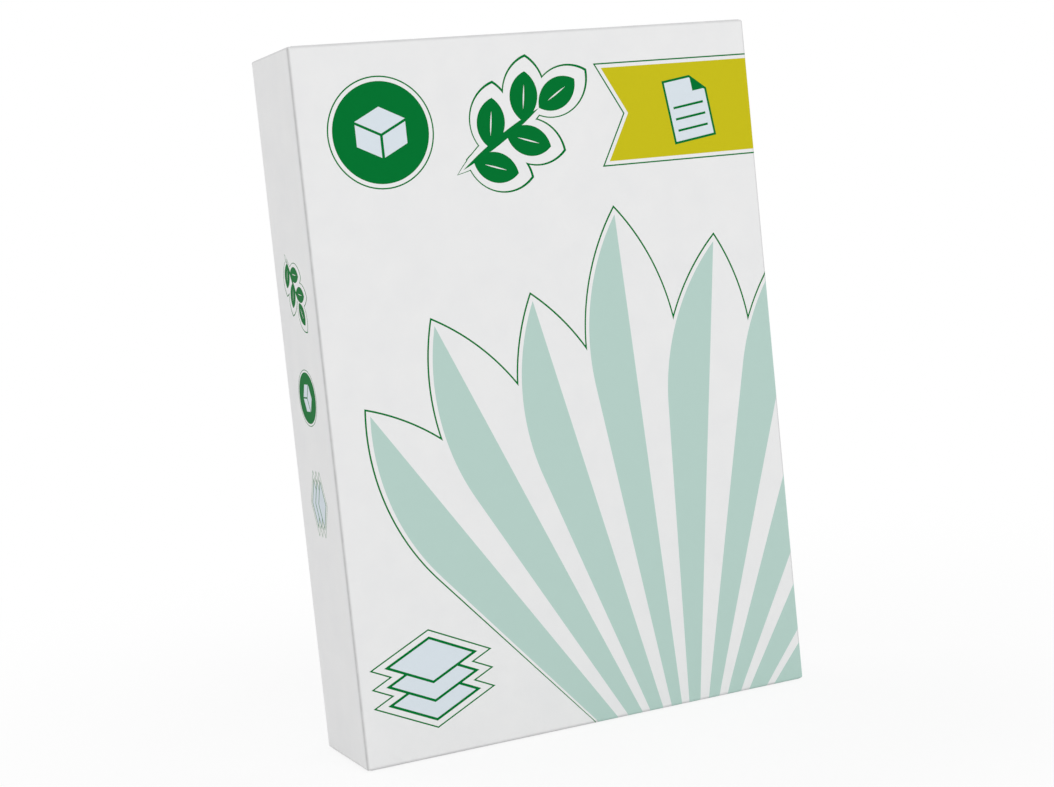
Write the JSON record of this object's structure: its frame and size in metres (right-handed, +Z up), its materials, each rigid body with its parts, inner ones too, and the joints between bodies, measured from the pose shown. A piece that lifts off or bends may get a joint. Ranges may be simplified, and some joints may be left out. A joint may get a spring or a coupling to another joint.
{
  "type": "ream of paper",
  "caption": "Sealed ream of A4 office paper in a folded and glued paper wrapper with a printed front; stands on one short end or lies on its back.",
  "frame": {"origin": "middle of the underside of the pack as it stands on one short end", "axes": "+Z up along the sheets' length; -Y is the way the printed front faces; -X is the printed narrow side"},
  "size_m": [0.2106, 0.0524, 0.2986],
  "materials": {
    "wrapper_paper": "white coated wrapping paper, satin",
    "dark_green_ink": "dark green ink on coated paper, satin",
    "olive_ink": "olive ink on coated paper, satin",
    "pale_green_ink": "pale green ink on coated paper, satin",
    "pale_blue_ink": "pale blue ink on coated paper, satin"
  },
  "bodies": {
    "root": {"wrapped_ream": "wrapper_paper", "dark_green_print": "dark_green_ink", "olive_print": "olive_ink", "pale_green_print": "pale_green_ink", "pale_blue_print": "pale_blue_ink"}
  },
  "joints": []
}
